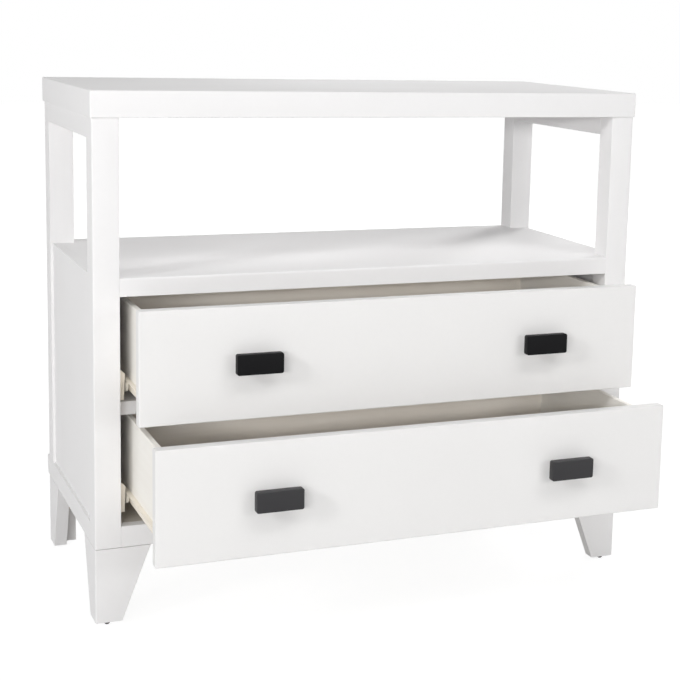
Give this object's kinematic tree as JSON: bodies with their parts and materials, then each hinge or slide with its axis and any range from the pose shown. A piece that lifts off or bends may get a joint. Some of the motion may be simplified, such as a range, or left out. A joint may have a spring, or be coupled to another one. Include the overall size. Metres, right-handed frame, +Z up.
{
  "type": "dresser",
  "caption": "White dresser with an open shelf bay under its top, wide drawers on roller slides with black bar pulls, and tapered bracket feet.",
  "frame": {"origin": "on the floor, at the middle of the part's box as it stands with its drawers out: midway between the sides, and 103.5 mm behind the front faces of the posts", "axes": "+X to the dresser's right as seen from its front, +Y from front to back, +Z up"},
  "size_m": [1.005, 0.719, 0.9],
  "materials": {
    "white_paint": "satin white paint on board",
    "drawer_box": "matt off-white board with a fine grain",
    "panel_board": "thin painted board",
    "raw_wood": "planed softwood",
    "dowel_beech": "planed beech",
    "cream_epoxy": "cream powder coat",
    "zinc_steel": "zinc plated",
    "nylon": "moulded nylon",
    "black_pull": "satin black",
    "glide_dark": "dark moulded plastic"
  },
  "bodies": {
    "carcass": {"table_top": "white_paint", "post_front_left": "white_paint", "post_front_right": "white_paint", "post_back_left": "white_paint", "post_back_right": "white_paint", "side_top_rail_left": "white_paint", "side_top_rail_right": "white_paint", "shelf": "white_paint", "side_panel_left": "white_paint", "side_panel_right": "white_paint", "divider_rail": "white_paint", "front_bottom_rail": "white_paint", "rear_bottom_rail": "white_paint", "side_bottom_rail_left": "white_paint", "side_bottom_rail_right": "white_paint", "bottom_panel": "panel_board", "back_panel": "panel_board", "foot_front_left_front": "white_paint", "foot_front_left_side": "white_paint", "foot_front_right_front": "white_paint", "foot_front_right_side": "white_paint", "foot_back_left_back": "white_paint", "foot_back_left_side": "white_paint", "foot_back_right_back": "white_paint", "foot_back_right_side": "white_paint", "foot_corner_blocks": "raw_wood", "foot_glides": "glide_dark", "cabinet_slide_upper_left": "cream_epoxy", "cabinet_slide_upper_right": "cream_epoxy", "cabinet_slide_lower_left": "cream_epoxy", "cabinet_slide_lower_right": "cream_epoxy", "cabinet_roller_pins": "zinc_steel", "cabinet_slide_screws": "zinc_steel", "frame_dowels": "dowel_beech"},
    "drawer_upper": {"upper_drawer_front": "white_paint", "upper_drawer_side_left": "drawer_box", "upper_drawer_side_right": "drawer_box", "upper_drawer_back": "drawer_box", "upper_drawer_bottom": "drawer_box", "upper_drawer_pull_left": "black_pull", "upper_drawer_pull_right": "black_pull", "upper_drawer_slide_left": "cream_epoxy", "upper_drawer_slide_right": "cream_epoxy", "upper_drawer_roller_pins": "zinc_steel", "upper_drawer_screws": "zinc_steel"},
    "drawer_lower": {"lower_drawer_front": "white_paint", "lower_drawer_side_left": "drawer_box", "lower_drawer_side_right": "drawer_box", "lower_drawer_back": "drawer_box", "lower_drawer_bottom": "drawer_box", "lower_drawer_pull_left": "black_pull", "lower_drawer_pull_right": "black_pull", "lower_drawer_slide_left": "cream_epoxy", "lower_drawer_slide_right": "cream_epoxy", "lower_drawer_roller_pins": "zinc_steel", "lower_drawer_screws": "zinc_steel"},
    "front_rollers_upper": {"upper_cabinet_rollers": "nylon"},
    "front_rollers_lower": {"lower_cabinet_rollers": "nylon"},
    "rear_rollers_upper": {"upper_drawer_rollers": "nylon"},
    "rear_rollers_lower": {"lower_drawer_rollers": "nylon"}
  },
  "joints": [
    {"name": "drawer_upper_slide", "type": "slide", "parent": "carcass", "child": "drawer_upper", "axis": [0, -1, 0], "range_m": [-0.118, 0.187]},
    {"name": "front_rollers_upper_turn", "type": "hinge", "parent": "carcass", "child": "front_rollers_upper", "pos_m": [0, -0.0695, 0.4065], "axis": [1, 0, 0], "range_deg": [-644, 1021]},
    {"name": "rear_rollers_upper_turn", "type": "hinge", "parent": "drawer_upper", "child": "rear_rollers_upper", "pos_m": [0, 0.1865, 0.4065], "axis": [1, 0, 0], "range_deg": [-677, 1072]},
    {"name": "drawer_lower_slide", "type": "slide", "parent": "carcass", "child": "drawer_lower", "axis": [0, -1, 0], "range_m": [-0.228, 0.077]},
    {"name": "front_rollers_lower_turn", "type": "hinge", "parent": "carcass", "child": "front_rollers_lower", "pos_m": [0, -0.0695, 0.212], "axis": [1, 0, 0], "range_deg": [-1245, 421]},
    {"name": "rear_rollers_lower_turn", "type": "hinge", "parent": "drawer_lower", "child": "rear_rollers_lower", "pos_m": [0, 0.0765, 0.212], "axis": [1, 0, 0], "range_deg": [-1307, 442]}
  ],
  "couplings": [
    {"joint": "front_rollers_upper_turn", "follows": "drawer_upper_slide", "rad_per_m": 95.238},
    {"joint": "rear_rollers_upper_turn", "follows": "drawer_upper_slide", "rad_per_m": 100},
    {"joint": "front_rollers_lower_turn", "follows": "drawer_lower_slide", "rad_per_m": 95.238},
    {"joint": "rear_rollers_lower_turn", "follows": "drawer_lower_slide", "rad_per_m": 100}
  ]
}
